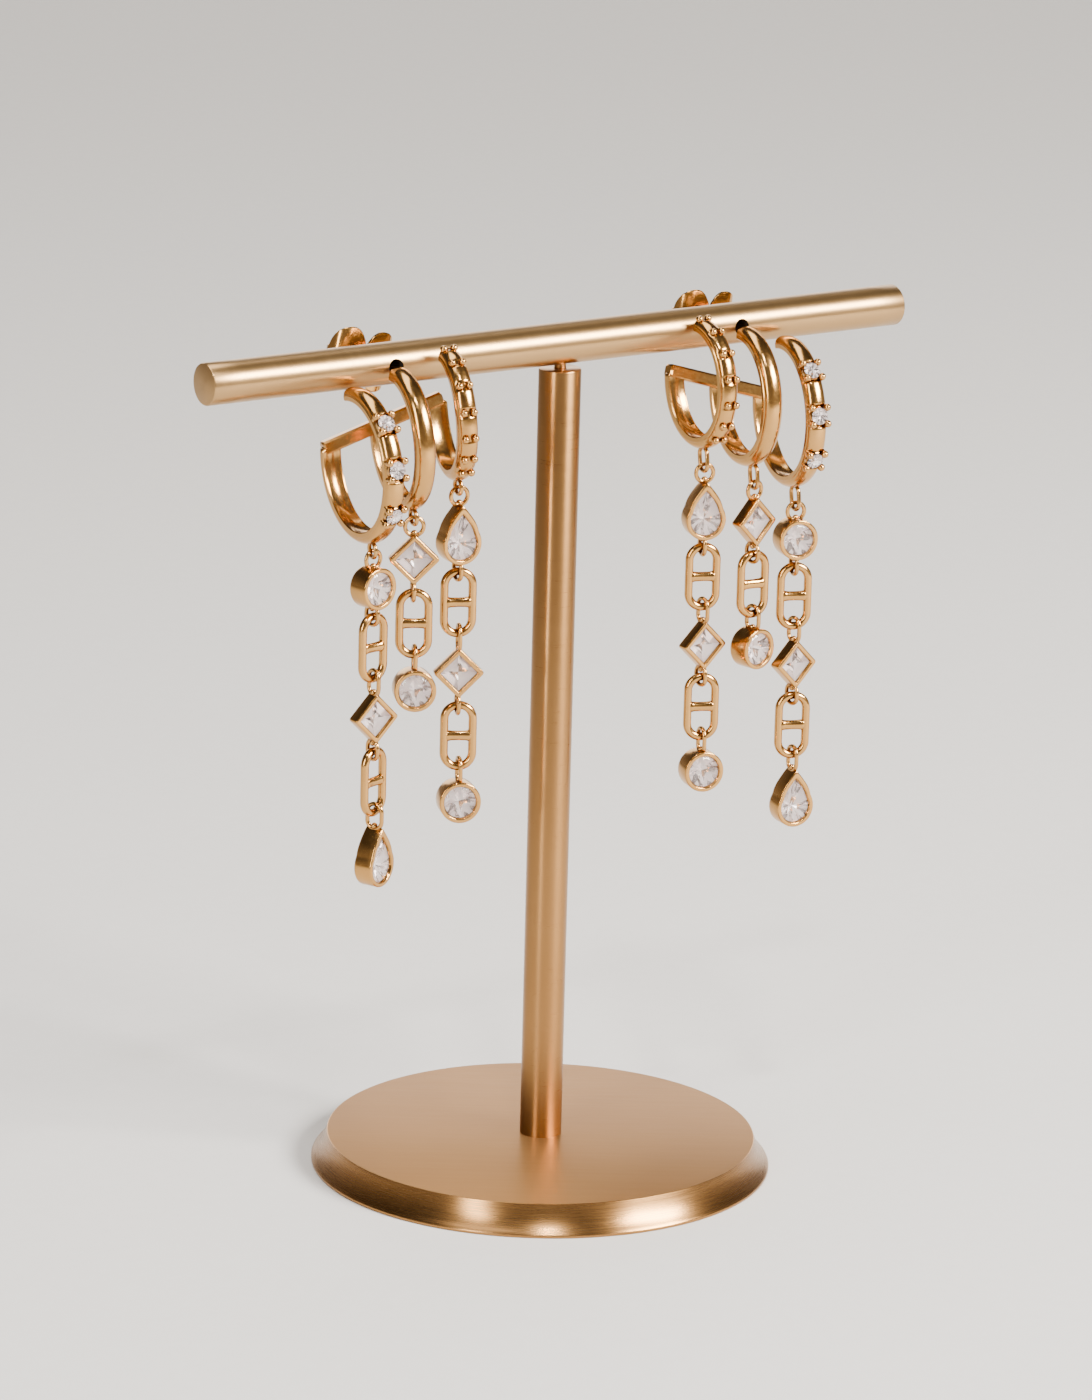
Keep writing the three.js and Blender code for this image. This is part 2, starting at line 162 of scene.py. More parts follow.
PEAR_SOFT = 0.14
PEAR_SOFT_TURN = 0.12
SQUARE_SIDE = 4.3
SQUARE_CORNER = 0.3
SQUARE_CORNER_LEAST = 0.06
SHAPES = {
    "round": {"r": 2.5, "up": 2.5, "down": 2.5, "depth": 2.8},
    "square": {"r": SQUARE_SIDE / 2, "up": SQUARE_SIDE / math.sqrt(2),
               "down": SQUARE_SIDE / math.sqrt(2), "depth": 1.8},
    "pear": {"r": PEAR_R, "up": PEAR_UP, "down": PEAR_R, "depth": 2.5},
}

# Each hoop in its earring's frame, as in the CAD: x outwards from the middle hoop, front and top of its
# outer surface, half depth, half height, fan of the back leg, start, end and bottom loop in degrees.
HOOPS = {
    "outer": {"x": 5.0, "front": -11.2, "top": -1.8, "a": 8.0, "b": 9.2, "fan": 5.5,
              "ends": (97, -193), "loop": -86},
    "middle": {"x": 0.0, "front": -9.6, "top": -0.2, "a": 6.95, "b": 8.5, "fan": 0.0,
               "ends": (87, -193), "loop": -82},
    "inner": {"x": -5.8, "front": -9.1, "top": 1.3, "a": 6.1, "b": 7.9, "fan": -6.5,
              "ends": (84, -190), "loop": -91},
}
STONE_ANGLES = (35, -1, -38)
BEAD_ANGLES = (79, 53, 28, 4, -19, -40, -59)
EARRINGS = (
    {"name": "left", "side": -1, "lean": -8.6, "roll": -3.0, "yaw": -5.9, "nut": 14, "stretch": 0.1},
    {"name": "right", "side": 1, "lean": -9.2, "roll": 0.6, "yaw": -2.7, "nut": 8, "stretch": 1.2},
)

# All chains lean by the same few degrees. Each is listed from the top, as the kind of piece and how many
# degrees it is turned about the vertical.
CHAIN_LEAN = 1.4
CHAINS = {
    "left_outer": (("round", 10), ("link", 12), ("square", 2), ("link", 20), ("pear", 24)),
    "left_middle": (("square", -26), ("link", -28), ("round", -25)),
    "left_inner": (("pear", -6), ("link", -22), ("square", -24), ("link", -28), ("round", -21)),
    "right_outer": (("round", -13), ("link", -22), ("square", 3), ("link", -22), ("pear", -6)),
    "right_middle": (("square", 8), ("link", -4), ("round", 10)),
    "right_inner": (("pear", -16), ("link", -22), ("square", -1), ("link", -22), ("round", -13)),
}

# The photograph's camera: where it looks, from which side, how high, its roll, distance and lens
TARGET = Vector((-0.8, 0.0, 58.6)) * MM
CAMERA_AZIMUTH = 34.07
CAMERA_ELEVATION = 15.33
CAMERA_ROLL = 1.46
CAMERA_DISTANCE = 0.7652
CAMERA_LENS = 163.7

# Each area light's name, place, size, power and colour
LIGHTS = (
    ("key", (0.45, -0.70, 0.60), (0.46, 0.3), 39, (1, 0.965, 0.92)),
    ("sparkle", (-0.25, -0.5, 0.95), (0.07, 0.07), 4, (1, 0.98, 0.96)),
    ("top", (-0.10, 0.15, 0.90), (0.9, 0.35), 6, (1, 0.97, 0.94)),
    ("fill", (-0.85, -0.35, 0.40), (0.16, 0.6), 6, (1, 0.98, 0.96)),
    ("back", (0.88, 1.30, 0.46), (1.5, 0.7), 11, (1, 0.95, 0.88)),
)
FLOOR_HALF = 6.0

# The two tones of the brushed brass on the bar and on the rest of the stand
PALE_BRASS = ((0.41, 0.245, 0.10), (0.49, 0.305, 0.135))
WARM_BRASS = ((0.33, 0.165, 0.055), (0.43, 0.225, 0.08))

rad = math.radians


class Shape:
    """Points in millimetres and faces of one piece while it is being made."""

    def __init__(self):
        self.points = []
        self.faces = []
        self.finishes = []

    def add(self, points, faces, place=Matrix(), finishes=None):
        start = len(self.points)
        self.points += [place @ Vector(p) for p in points]
        self.faces += [[start + i for i in face] for face in faces]
        self.finishes += finishes or [0] * len(faces)
        return self

    def moved(self, place):
        self.points = [place @ p for p in self.points]
        return self


def finish_piece(name, shape, materials, node, sharp=EDGE_ANGLE):
    """Turns a shape into an object that stands for a CAD node and rides on the body."""
    mesh = bpy.data.meshes.new(name)
    mesh.from_pydata([p * MM for p in shape.points], [], shape.faces)
    bm = bmesh.new()
    bm.from_mesh(mesh)
    bmesh.ops.recalc_face_normals(bm, faces=bm.faces)
    bm.to_mesh(mesh)
    bm.free()
    mesh.shade_smooth()
    mesh.set_sharp_from_angle(angle=rad(sharp))
    for material in materials:
        mesh.materials.append(material)
    mesh.polygons.foreach_set("material_index", shape.finishes)
    piece = bpy.data.objects.new(name, mesh)
    bpy.context.scene.collection.objects.link(piece)
    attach(piece, BODY)
    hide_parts(node)
    return piece


def bridge(rows, count, closed_rows=False):
    """Faces between rows of `count` points that each form a closed ring."""
    faces = []
    last = rows if closed_rows else rows - 1
    for r in range(last):
        a, b = r * count, (r + 1) % rows * count
        faces += [[a + i, a + (i + 1) % count, b + (i + 1) % count, b + i] for i in range(count)]
    return faces


def loft(rings):
    """A closed body through rings of points, with flat ends."""
    count = len(rings[0])
    faces = bridge(len(rings), count)
    faces.append(list(range(count))[::-1])
    faces.append([(len(rings) - 1) * count + i for i in range(count)])
    return [p for ring in rings for p in ring], faces


def lathe(profile, sides):
    """A body turned about Z from a profile of (radius, height), whose ends are flat discs."""
    rings = []
    for r, h in profile:
        turns = [2 * math.pi * i / sides for i in range(sides)]
        rings.append([(r * math.cos(t), r * math.sin(t), h) for t in turns])
    return loft(rings)


def tube(path, radius, sides):
    """A closed wire of round section along a path in the XY plane."""
    normal = Vector((0, 0, 1))
    path = [Vector(p) for p in path]
    points = []
    for i, p in enumerate(path):
        along = (path[(i + 1) % len(path)] - path[i - 1]).normalized()
        side = along.cross(normal).normalized()
        for k in range(sides):
            turn = 2 * math.pi * k / sides
            points.append(p + side * radius * math.cos(turn) + normal * radius * math.sin(turn))
    return points, bridge(len(path), sides, closed_rows=True)


def loop_path(radius, stretch, steps=48):
    """A circle in the XY plane, drawn out along Y."""
    path = []
    for i in range(steps):
        turn = 2 * math.pi * (i + 0.5) / steps
        y = radius * math.sin(turn)
        path.append((radius * math.cos(turn), y + math.copysign(stretch / 2, y), 0))
    return path


def ball(radius, place, tall=1.0, sides=18, rows=11):
    """A ball, drawn out or flattened along its own Z, with the place it goes to."""
    profile = [(radius * math.sin(math.pi * i / rows), radius * tall * -math.cos(math.pi * i / rows))
               for i in range(1, rows)]
    points, faces = lathe(profile, sides)
    return points, faces, place


def between(start, end):
    """A matrix whose Z axis runs from start to end."""
    turn = (end - start).to_track_quat("Z", "Y").to_matrix().to_4x4()
    return Matrix.Translation(start) @ turn


# Finishes

def shader(name):
    """An empty material with one surface shader; also gives its nodes and links."""
    material = bpy.data.materials.new(name)
    material.use_nodes = True
    nodes = material.node_tree.nodes
    nodes.clear()
    output = nodes.new("ShaderNodeOutputMaterial")
    surface = nodes.new("ShaderNodeBsdfPrincipled")
    material.node_tree.links.new(surface.outputs[0], output.inputs["Surface"])
    return material, nodes, material.node_tree.links, surface


def noise(nodes, links, vector, scale, detail=3.0, roughness=0.5):
    node = nodes.new("ShaderNodeTexNoise")
    node.inputs["Scale"].default_value = scale
    node.inputs["Detail"].default_value = detail
    node.inputs["Roughness"].default_value = roughness
    links.new(vector, node.inputs["Vector"])
    return node.outputs["Fac"]


def ranged(nodes, links, value, low, high, to_low, to_high):
    node = nodes.new("ShaderNodeMapRange")
    for socket, number in zip(("From Min", "From Max", "To Min", "To Max"), (low, high, to_low, to_high)):
        node.inputs[socket].default_value = number
    links.new(value, node.inputs["Value"])
    return node.outputs["Result"]


def blended(nodes, links, value, first, second):
    node = nodes.new("ShaderNodeMix")
    node.data_type = "RGBA"
    node.inputs["A"].default_value = (*first, 1)
    node.inputs["B"].default_value = (*second, 1)
    links.new(value, node.inputs["Factor"])
    return node.outputs["Result"]


def stretched(nodes, links, stretch, turn=0.0):
    """Coordinates drawn out along the directions with a small factor."""
    place = nodes.new("ShaderNodeTexCoord")
    mapping = nodes.new("ShaderNodeMapping")
    mapping.vector_type = "TEXTURE"
    mapping.inputs["Rotation"].default_value = (0, 0, rad(turn))
    mapping.inputs["Scale"].default_value = [1 / s for s in stretch]
    links.new(place.outputs["Object"], mapping.inputs["Vector"])
    return mapping.outputs["Vector"]


def round_lines(nodes, links):
    """Coordinates whose lines run round the Z axis: distance from it, height and a slow turn."""
    place = nodes.new("ShaderNodeTexCoord")
    split = nodes.new("ShaderNodeSeparateXYZ")
    links.new(place.outputs["Object"], split.inputs[0])
    turn = nodes.new("ShaderNodeMath")
    turn.operation = "ARCTAN2"
    links.new(split.outputs["Y"], turn.inputs[0])
    links.new(split.outputs["X"], turn.inputs[1])
    slow = nodes.new("ShaderNodeMath")
    slow.operation = "MULTIPLY"
    slow.inputs[1].default_value = 0.4 * MM
    links.new(turn.outputs[0], slow.inputs[0])
    flat = nodes.new("ShaderNodeVectorMath")
    flat.operation = "MULTIPLY"
    flat.inputs[1].default_value = (1, 1, 0)
    links.new(place.outputs["Object"], flat.inputs[0])
    reach = nodes.new("ShaderNodeVectorMath")
    reach.operation = "LENGTH"
    links.new(flat.outputs[0], reach.inputs[0])
    joined = nodes.new("ShaderNodeCombineXYZ")
    links.new(reach.outputs["Value"], joined.inputs["X"])
    links.new(split.outputs["Z"], joined.inputs["Y"])
    links.new(slow.outputs[0], joined.inputs["Z"])
    return joined.outputs[0]


def bumped(nodes, links, surface, height, distance, strength):
    bump = nodes.new("ShaderNodeBump")
    bump.inputs["Distance"].default_value = distance
    bump.inputs["Strength"].default_value = strength
    links.new(height, bump.inputs["Height"])
    links.new(bump.outputs["Normal"], surface.inputs["Normal"])


def brushed_brass(name, lines, tangent_axis, rough, drawn, tones, streaks=0.09):
    """Brass with fine brushed lines. `lines` makes the coordinates that the lines follow."""
    material, nodes, links, surface = shader(name)
    vector = lines(nodes, links)
    fine = noise(nodes, links, vector, 9000, detail=4.0, roughness=0.65)
    broad = noise(nodes, links, vector, 1500, detail=2.0)
    place = nodes.new("ShaderNodeTexCoord")
    cloud = noise(nodes, links, place.outputs["Object"], 60, detail=2.0)
    tone = nodes.new("ShaderNodeMath")
    tone.operation = "MULTIPLY_ADD"
    tone.inputs[1].default_value = streaks
    links.new(broad, tone.inputs[0])
    links.new(ranged(nodes, links, cloud, 0.3, 0.7, 0.2, 0.5), tone.inputs[2])
    colour = blended(nodes, links, tone.outputs[0], *tones)
    links.new(colour, surface.inputs["Base Color"])
    links.new(ranged(nodes, links, fine, 0.3, 0.7, rough - 0.03, rough + 0.04),
              surface.inputs["Roughness"])
    surface.inputs["Metallic"].default_value = 1.0
    surface.inputs["Anisotropic"].default_value = drawn
    surface.inputs["Anisotropic Rotation"].default_value = 0.25
    tangent = nodes.new("ShaderNodeTangent")
    tangent.direction_type = "UV_MAP" if tangent_axis == "UV" else "RADIAL"
    if tangent_axis != "UV":
        tangent.axis = tangent_axis
    links.new(tangent.outputs[0], surface.inputs["Tangent"])
    bumped(nodes, links, surface, fine, 0.00001, 0.12)
    return material


def polished_gold():
    material, nodes, links, surface = shader("polished_gold_finish")
    place = nodes.new("ShaderNodeTexCoord")
    wave = noise(nodes, links, place.outputs["Object"], 700, detail=1.5)
    haze = noise(nodes, links, place.outputs["Object"], 2600, detail=4.0, roughness=0.6)
    # Painted shade: the gold's colour goes towards near black in creases and tight corners, read from
    # ambient occlusion
    painted_crease_shade = nodes.new("ShaderNodeAmbientOcclusion")
    painted_crease_shade.inputs["Distance"].default_value = 0.0006
    painted_crease_shade.samples = 6
    colour = blended(nodes, links, ranged(nodes, links, painted_crease_shade.outputs["AO"], 0.35, 0.9, 0, 1),
                     (0.17, 0.06, 0.01), (0.56, 0.305, 0.095))
    tint = nodes.new("ShaderNodeMix")
    tint.data_type = "RGBA"
    tint.blend_type = "MULTIPLY"
    links.new(ranged(nodes, links, wave, 0.3, 0.7, 0.0, 0.35), tint.inputs["Factor"])
    links.new(colour, tint.inputs["A"])
    tint.inputs["B"].default_value = (0.90, 0.80, 0.66, 1)
    links.new(tint.outputs["Result"], surface.inputs["Base Color"])
    links.new(ranged(nodes, links, haze, 0.3, 0.75, 0.15, 0.24), surface.inputs["Roughness"])
    surface.inputs["Metallic"].default_value = 1.0
    bumped(nodes, links, surface, wave, 0.00012, 0.12)
    return material


def crystal():
    material, nodes, links, surface = shader("clear_stone_finish")
    place = nodes.new("ShaderNodeTexCoord")
    veil = noise(nodes, links, place.outputs["Object"], 900, detail=2.0)
    colour = blended(nodes, links, veil, (1.0, 0.975, 0.97), (0.97, 0.965, 1.0))
    links.new(colour, surface.inputs["Base Color"])
    surface.inputs["Roughness"].default_value = 0.0
    surface.inputs["IOR"].default_value = 1.6
    surface.inputs["Transmission Weight"].default_value = 1.0
    return material


def stone_foil(name, metallic, rough):
    """The backing on a stone's underside, which throws the light back through its facets."""
    material, nodes, links, surface = shader(name)
    place = nodes.new("ShaderNodeTexCoord")
    veil = noise(nodes, links, place.outputs["Object"], 1800, detail=2.0)
    links.new(blended(nodes, links, veil, (1.0, 0.90, 0.86), (0.98, 0.92, 0.92)),
              surface.inputs["Base Color"])
    links.new(ranged(nodes, links, veil, 0.3, 0.7, rough, rough * 2), surface.inputs["Roughness"])
    surface.inputs["Metallic"].default_value = metallic
    return material


def hole_shade_finish():
    # Painted shade: a near-black colour for the walls of the bar's holes, standing in for the shadow inside
    # them
    material, nodes, links, surface = shader("hole_painted_shade")
    place = nodes.new("ShaderNodeTexCoord")
    shade_grain = noise(nodes, links, place.outputs["Object"], 1500, detail=3.0)
    links.new(blended(nodes, links, shade_grain, (0.006, 0.004, 0.003), (0.02, 0.012, 0.007)),
              surface.inputs["Base Color"])
    surface.inputs["Roughness"].default_value = 0.8
    return material


def floor_paper():
    material, nodes, links, surface = shader("floor_paper")
    place = nodes.new("ShaderNodeTexCoord")
    grain = noise(nodes, links, place.outputs["Object"], 400, detail=3.0)
    links.new(blended(nodes, links, grain, (0.58, 0.565, 0.545), (0.61, 0.595, 0.575)),
              surface.inputs["Base Color"])
    surface.inputs["Roughness"].default_value = 0.7
    surface.inputs["Specular IOR Level"].default_value = 0.25
    return material


gold = polished_gold()
stone_finishes = [crystal(), stone_foil("bright_backing", metallic=0.9, rough=0.05),
                  stone_foil("soft_backing", metallic=0.05, rough=0.14)]
hole_shade_material = hole_shade_finish()
bar_brass = brushed_brass("bar_brass", lambda n, l: stretched(n, l, (1, 0.03, 0.03)), "X",
                          rough=0.34, drawn=0.5, tones=PALE_BRASS)
post_brass = brushed_brass("post_brass", lambda n, l: stretched(n, l, (0.03, 0.03, 1)), "Z",
                           rough=0.3, drawn=0.6, tones=WARM_BRASS)
edge_brass = brushed_brass("base_edge_brass", round_lines, "Z", rough=0.27, drawn=0.7, tones=WARM_BRASS)
top_brass = brushed_brass("base_top_brass", lambda n, l: stretched(n, l, (0.02, 1, 1), BRUSH_TURN), "UV",
                          rough=0.42, drawn=0.7, tones=WARM_BRASS, streaks=0.45)


# Stand

def cavetto(steps=8):
    """The base's hollow flank, from the lip up to below its rounded top edge."""
    low = Vector((BASE_BOTTOM_R - 0.03, BASE_LIP))
    waist = Vector((BASE_WAIST_R, BASE_WAIST_Z))
    high = Vector((BASE_TOP_R, BASE_H - 0.12))
    knee = waist * 2 - (low + high) / 2
    curve = []
    for i in range(steps + 1):
        t = i / steps
        curve.append(low * (1 - t) ** 2 + knee * 2 * t * (1 - t) + high * t ** 2)
    return [(p.x, p.y) for p in curve]


def stand_base():
    """The round foot, whose flat top is brushed one way and whose flank is turned."""
    lip = [(BASE_BOTTOM_R - 0.15, 0), (BASE_BOTTOM_R - 0.03, 0.05), (BASE_BOTTOM_R, 0.12),
           (BASE_BOTTOM_R, BASE_LIP - 0.06)]
    top = [(BASE_TOP_R - 0.03, BASE_H - 0.04), (BASE_TOP_R - 0.12, BASE_H)]
    profile = lip + cavetto() + top
    shape = Shape().add(*lathe(profile, BASE_SIDES))
    finishes = [edge_brass, top_brass]
    piece = finish_piece("stand_base_brushed", shape, finishes, "stand_base")
    mesh = piece.data
    turn = Matrix.Rotation(rad(-BRUSH_TURN), 2)
    layer = mesh.uv_layers.new(name="brushing")
    for face in mesh.polygons:
        if face.normal.z > 0.99:
            face.material_index = 1
        for corner in face.loop_indices:
            point = mesh.vertices[mesh.loops[corner].vertex_index].co
            layer.data[corner].uv = turn @ point.to_2d() * BRUSH_TILES


def stand_post():
    """The upright rod and the stud that carries the bar."""
    profile = [(POST_R, BASE_H), (POST_R, POST_TOP - 0.16), (POST_R - 0.05, POST_TOP - 0.05),
               (POST_R - 0.16, POST_TOP), (STUD_R + 0.12, POST_TOP), (STUD_R, POST_TOP + 0.1),
               (STUD_R, STUD_TIP)]
    shape = Shape().add(*lathe(profile, POST_SIDES))
    finish_piece("stand_post_brushed", shape, [post_brass], "stand_post")


def stand_bar():
    """The bar with its two cross holes, which are cut here and carry a near-black painted shade inside."""
    edge = [(BAR_R - 0.22, BAR_HALF), (BAR_R - 0.08, BAR_HALF - 0.05), (BAR_R, BAR_HALF - 0.2)]
    middle = [(BAR_R, BAR_HALF * (1 - 2 * i / BAR_STATIONS)) for i in range(1, BAR_STATIONS)]
    profile = edge + middle + [(r, -z) for r, z in reversed(edge)]
    lay = Matrix.Translation((0, 0, BAR_Z)) @ Matrix.Rotation(rad(90), 4, "Y")
    shape = Shape().add(*lathe(profile[::-1], BAR_SIDES), lay)
    piece = finish_piece("stand_bar_brushed", shape, [bar_brass], "stand_bar")
    drill = Shape()
    across = Matrix.Rotation(rad(90), 4, "X")
    for side in (-1, 1):
        place = Matrix.Translation((side * HOLE_X, 0, BAR_Z)) @ across
        drill.add(*lathe([(HOLE_R, -2 * BAR_R), (HOLE_R, 2 * BAR_R)], HOLE_SIDES), place)
    mesh = bpy.data.meshes.new("drill")
    mesh.from_pydata([p * MM for p in drill.points], [], drill.faces)
    # The holes' walls take this near-black painted shade from the drill
    mesh.materials.append(hole_shade_material)
    tool = bpy.data.objects.new("drill", mesh)
    bpy.context.scene.collection.objects.link(tool)
    cut = piece.modifiers.new("holes", "BOOLEAN")
    cut.object = tool
    cut.operation = "DIFFERENCE"
    cut.solver = "EXACT"
    cut.material_mode = "TRANSFER"
    bpy.context.view_layer.update()
    graph = bpy.context.evaluated_depsgraph_get()
    drilled = bpy.data.meshes.new_from_object(piece.evaluated_get(graph))
    piece.modifiers.clear()
    piece.data = drilled
    drilled.set_sharp_from_angle(angle=rad(EDGE_ANGLE))
    bpy.data.objects.remove(tool)


# Hoops

def hoop_point(hoop, side, angle):
    """The point of a hoop's outer surface at an angle, in its earring's frame."""
    back = hoop["a"] - hoop["a"] * math.cos(angle)
    fan = rad(hoop["fan"])
    return Vector((side * (hoop["x"] + back * math.sin(fan)), hoop["front"] + back * math.cos(fan),
                   hoop["top"] - hoop["b"] + hoop["b"] * math.sin(angle)))


def hoop_axes(hoop, side, angle):
    """Unit vectors outwards from the band, across it and along it."""
    fan = rad(hoop["fan"])
    n = Vector((-math.cos(angle) / hoop["a"], math.sin(angle) / hoop["b"])).normalized()
    out = Vector((side * n.x * math.sin(fan), n.x * math.cos(fan), n.y))
    across = Vector((side * math.cos(fan), -math.sin(fan), 0))
    return out, across, across.cross(out)


def relief(key, degrees):
    """How far the rounded face dips: seats under the stones and grooves under the beads."""
    places = {"outer": STONE_ANGLES, "middle": (), "inner": BEAD_ANGLES}[key]
    half, depth, steepness = (GROOVE_HALF, GROOVE_DEPTH, GROOVE_STEEP)
    if key == "outer":
        half, depth, steepness = (SEAT_HALF, SEAT_DEPTH, SEAT_STEEP)
    dip = 0.0
    for place in places:
        share = abs(degrees - place) / half
        if share < 1:
            steep = min(1.0, (1 - share) * steepness)
            dip = max(dip, depth * steep * steep * (3 - 2 * steep))
    return dip


def band_section(dip, arc_steps=18):
    """The band's section as (across, depth) points: rounded face, side strips, hollow inner face."""
    arc = []
    face_half = BAND_HALF - 0.06
    for i in range(arc_steps + 1):
        turn = math.pi * i / arc_steps
        arc.append((face_half * math.cos(turn), BAND_EDGE - (BAND_EDGE - dip) * math.sin(turn)))
    inner = [(BAND_HALF, BAND_EDGE + 0.07), (BAND_HALF, BAND_T - 0.1), (BAND_HALF - 0.09, BAND_T),
             (BAND_HALF * 0.7, BAND_T), (BAND_HALF * 0.5, BAND_T - BAND_HOLLOW)]
    return arc + [(-u, w) for u, w in inner] + inner[::-1]


def add_band(shape, hoop, key, side):
    """One hoop's band, about a degree a step, with rounded ends."""
    start, end = hoop["ends"]
    blunt = INNER_BLUNT if key == "inner" else 0.0
    stations = [(start - step, share + (1 - share) * blunt) for step, share in BAND_SWELL]
    count = start - end - 2 * BAND_RUN_IN
    stations += [(start - BAND_RUN_IN - i, 1.0) for i in range(count + 1)]
    stations += [(end + step, share) for step, share in BAND_SWELL[::-1]]
    rings = []
    for degrees, share in stations:
        angle = rad(degrees)
        out, across, _ = hoop_axes(hoop, side, angle)
        origin = hoop_point(hoop, side, angle) - out * BAND_T / 2
        rings.append([origin + across * u * share + out * (BAND_T / 2 - w) * share
                      for u, w in band_section(relief(key, degrees))])
    shape.add(*loft(rings))


def add_leg_bar(shape, side):
    """The square bar that joins the back legs, with softened edges and ends."""
    ends = []
    for key in ("outer", "inner"):
        angle = rad(HOOPS[key]["ends"][1])
        out, _, _ = hoop_axes(HOOPS[key], side, angle)
        ends.append(hoop_point(HOOPS[key], side, angle) - out * BAND_T / 2)
    reach = (ends[1] - ends[0]).normalized() * LEG_BAR / 2
    start, end = ends[0] - reach, ends[1] + reach
    length = (end - start).length
    half, flat = LEG_BAR / 2, LEG_BAR / 2 - LEG_EDGE
    section = [(half, flat), (flat, half), (-flat, half), (-half, flat),
               (-half, -flat), (-flat, -half), (flat, -half), (half, -flat)]
    rings = []
    for z, share in ((0, LEG_END_SHARE), (LEG_END, 1.0), (length - LEG_END, 1.0), (length, LEG_END_SHARE)):
        rings.append([(u * share, v * share, z) for u, v in section])
    shape.add(*loft(rings), between(start, end))


def stone_place(hoop, side, degrees):
    """A matrix that sets things on a hoop's outer surface, with Z outwards."""
    out, across, along = hoop_axes(hoop, side, rad(degrees))
    place = Matrix((across, along, out)).transposed().to_4x4()
    return Matrix.Translation(hoop_point(hoop, side, rad(degrees))) @ place


def loop_centre(hoop, side, stretch):
    """The middle of the lower end of a hoop's bottom loop, where the chain's ring hangs."""
    angle = rad(hoop["loop"])
    reach = LOOP_WIRE + CLEAR - LOOP_BITE
    centre = hoop_point(hoop, side, angle) + hoop_axes(hoop, side, angle)[0] * reach
    return centre - Vector((0, 0, stretch))


def earring_place(earring):
    """The earring's frame: at its hole, turned as it hangs."""
    turns = [Matrix.Rotation(rad(earring[key]), 4, axis)
             for key, axis in (("yaw", "Z"), ("roll", "Y"), ("lean", "X"))]
    return Matrix.Translation((earring["side"] * HOLE_X, 0, BAR_Z)) @ turns[0] @ turns[1] @ turns[2]


def add_prongs(shape, side):
    """Four ball prongs and a collar round each stone of the outer hoop."""
    for degrees in STONE_ANGLES:
        place = stone_place(HOOPS["outer"], side, degrees)
        for u in (-1, 1):
            for v in (-1, 1):
                foot = place @ Matrix.Translation((u * PRONG_AT, v * PRONG_AT, 0))
                shape.add(*lathe(PRONG_STEM, 14), foot)
                shape.add(*ball(PRONG_R, foot @ Matrix.Translation((0, 0, PRONG_RISE)), PRONG_TALL))
        shape.add(*lathe(STONE_COLLAR, 40), place)


def hoops(earring):
    """All that is soldered together: bands, loops, leg bar, beads, prongs and ear post."""
    side = earring["side"]
    shape = Shape()
    for key, hoop in HOOPS.items():
        add_band(shape, hoop, key, side)
        centre = loop_centre(hoop, side, earring["stretch"])
        centre.z += earring["stretch"] / 2
        stand_up = Matrix.Rotation(rad(90), 4, "X") @ Matrix.Rotation(rad(90), 4, "Y")
        wire = tube(loop_path(LOOP_WIRE + CLEAR, earring["stretch"]), LOOP_WIRE / 2, 14)
        shape.add(*wire, Matrix.Translation(centre) @ stand_up)
    add_leg_bar(shape, side)
    for degrees in BEAD_ANGLES:
        place = stone_place(HOOPS["inner"], side, degrees)
        for way in (-1, 1):
            shape.add(*ball(BEAD_R, place @ Matrix.Translation((way * BEAD_SPREAD, 0, -BEAD_SINK))))
    add_prongs(shape, side)
    shape.moved(earring_place(earring))
    post = [(EAR_POST_R, -EAR_POST_FRONT)]
    post += [(EAR_POST_R - less, EAR_POST_BACK - before) for less, before in EAR_POST_END]
    lay = Matrix.Translation((side * HOLE_X, 0, BAR_Z - EAR_POST_DROP))
    lay = lay @ Matrix.Rotation(rad(-90), 4, "X")
    shape.add(*lathe(post, 32), lay)
    node = earring["name"] + "_hoops"
    finish_piece(node + "_polished", shape, [gold], node)


def butterfly_nut(earring):
    """A strip with two round lobes, each curled back on itself, and a collar round the post."""
    flat_steps, curl_steps = 8, 40
    path = [Vector((NUT_CURL_X * i / flat_steps, 0)) for i in range(flat_steps)]
    for i in range(curl_steps + 1):
        angle = rad(-90 + NUT_CURL_TURN * i / curl_steps)
        # The lobe tightens a little as it curls in
        r = NUT_CURL_R * (1 - NUT_TIGHTER * max(0, i / curl_steps - NUT_TIGHTER_FROM))
        path.append(Vector((NUT_CURL_X + r * math.cos(angle), NUT_CURL_R + r * math.sin(angle))))
    shape = Shape()
    for way in (-1, 1):
        rings = []
        walk = 0.0
        for i, point in enumerate(path):
            before, after = path[max(0, i - 1)], path[min(len(path) - 1, i + 1)]
            walk += (point - path[i - 1]).length if i else 0.0
            reach = NUT_LOBE_INNER if walk < NUT_LOBE_AT else NUT_LOBE_OUTER
            lobe = math.sqrt(max(0, 1 - ((walk - NUT_LOBE_AT) / reach) ** 2))
            high = max(NUT_TIP, NUT_LOBE * lobe)
            along = (after - before).normalized()
            side = Vector((along.y, -along.x)) * NUT_STRIP / 2
            soft = NUT_STRIP * NUT_SOFT
            ring = []
            for u, z in ((1, high - soft), (0.5, high), (-0.5, high), (-1, high - soft),
                         (-1, soft - high), (-0.5, -high), (0.5, -high), (1, soft - high)):
                spot = point + side * u
                ring.append((way * spot.x, spot.y, z))
            rings.append(ring)
        shape.add(*loft(rings))
    shape.add(*lathe(NUT_COLLAR, 40), Matrix.Rotation(rad(-90), 4, "X"))
    place = Matrix.Translation((earring["side"] * HOLE_X, NUT_Y, BAR_Z - EAR_POST_DROP))
    place = place @ Matrix.Rotation(rad(earring["nut"]), 4, "Y")
    node = earring["name"] + "_butterfly_nut"
    finish_piece(node + "_polished", shape.moved(place), [gold], node)


# Drops: each faces +Z with its point up along Y, and is then stood up to face the front.

